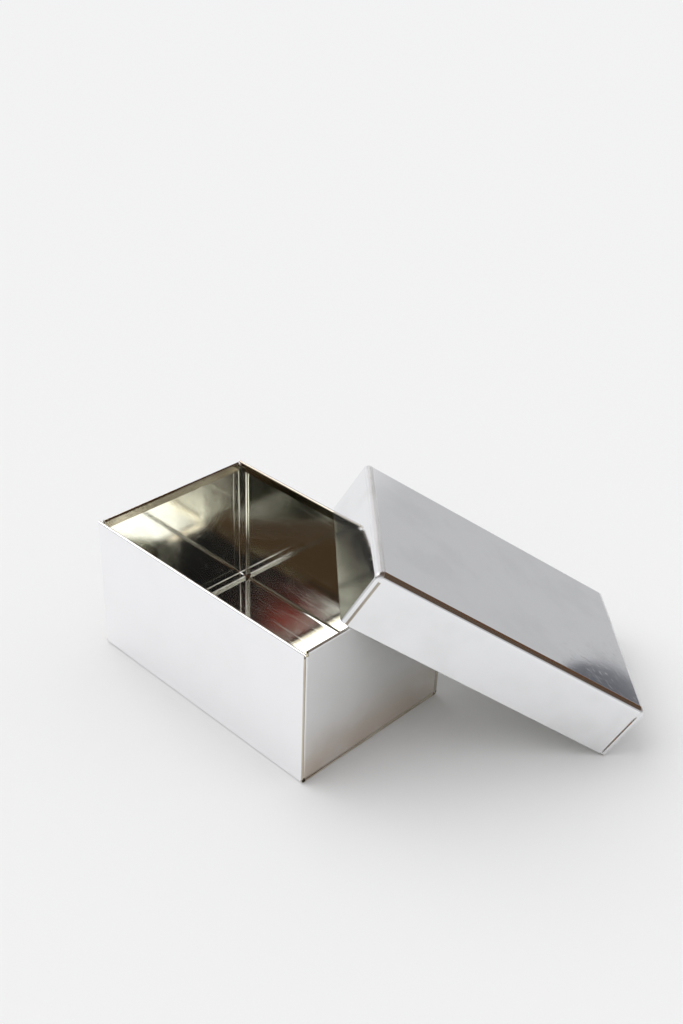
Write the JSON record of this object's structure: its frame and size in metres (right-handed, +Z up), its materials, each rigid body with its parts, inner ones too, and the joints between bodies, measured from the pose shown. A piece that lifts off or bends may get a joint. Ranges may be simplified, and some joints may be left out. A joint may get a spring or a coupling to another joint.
{
  "type": "stamp box",
  "caption": "Small rectangular tinplate box with hemmed rims, lock-seamed end walls and a deep lift-off lid that leans on its rim.",
  "frame": {"origin": "middle of the flat underside of the box's body, which stands on the table", "axes": "+Z up, +X along the body's length towards the end that the lid leans on, +Y across the body towards the wall that the lid leans on"},
  "size_m": [0.1581, 0.1276, 0.0674],
  "materials": {
    "body_tinplate": "bright rolled tinplate with fine scuffs",
    "end_wall_tinplate": "bright rolled tinplate with fine scuffs",
    "lid_tinplate": "bright rolled tinplate, finely brushed along its length"
  },
  "bodies": {
    "tin": {"body_wrap": "body_tinplate", "end_wall_left": "end_wall_tinplate", "end_wall_right": "end_wall_tinplate"},
    "lid": {"lid": "lid_tinplate"}
  },
  "joints": [
    {"name": "lid_lift", "type": "slide", "parent": "tin", "child": "lid", "axis": [0, 0, 1], "range_m": [0, 0.06]}
  ]
}
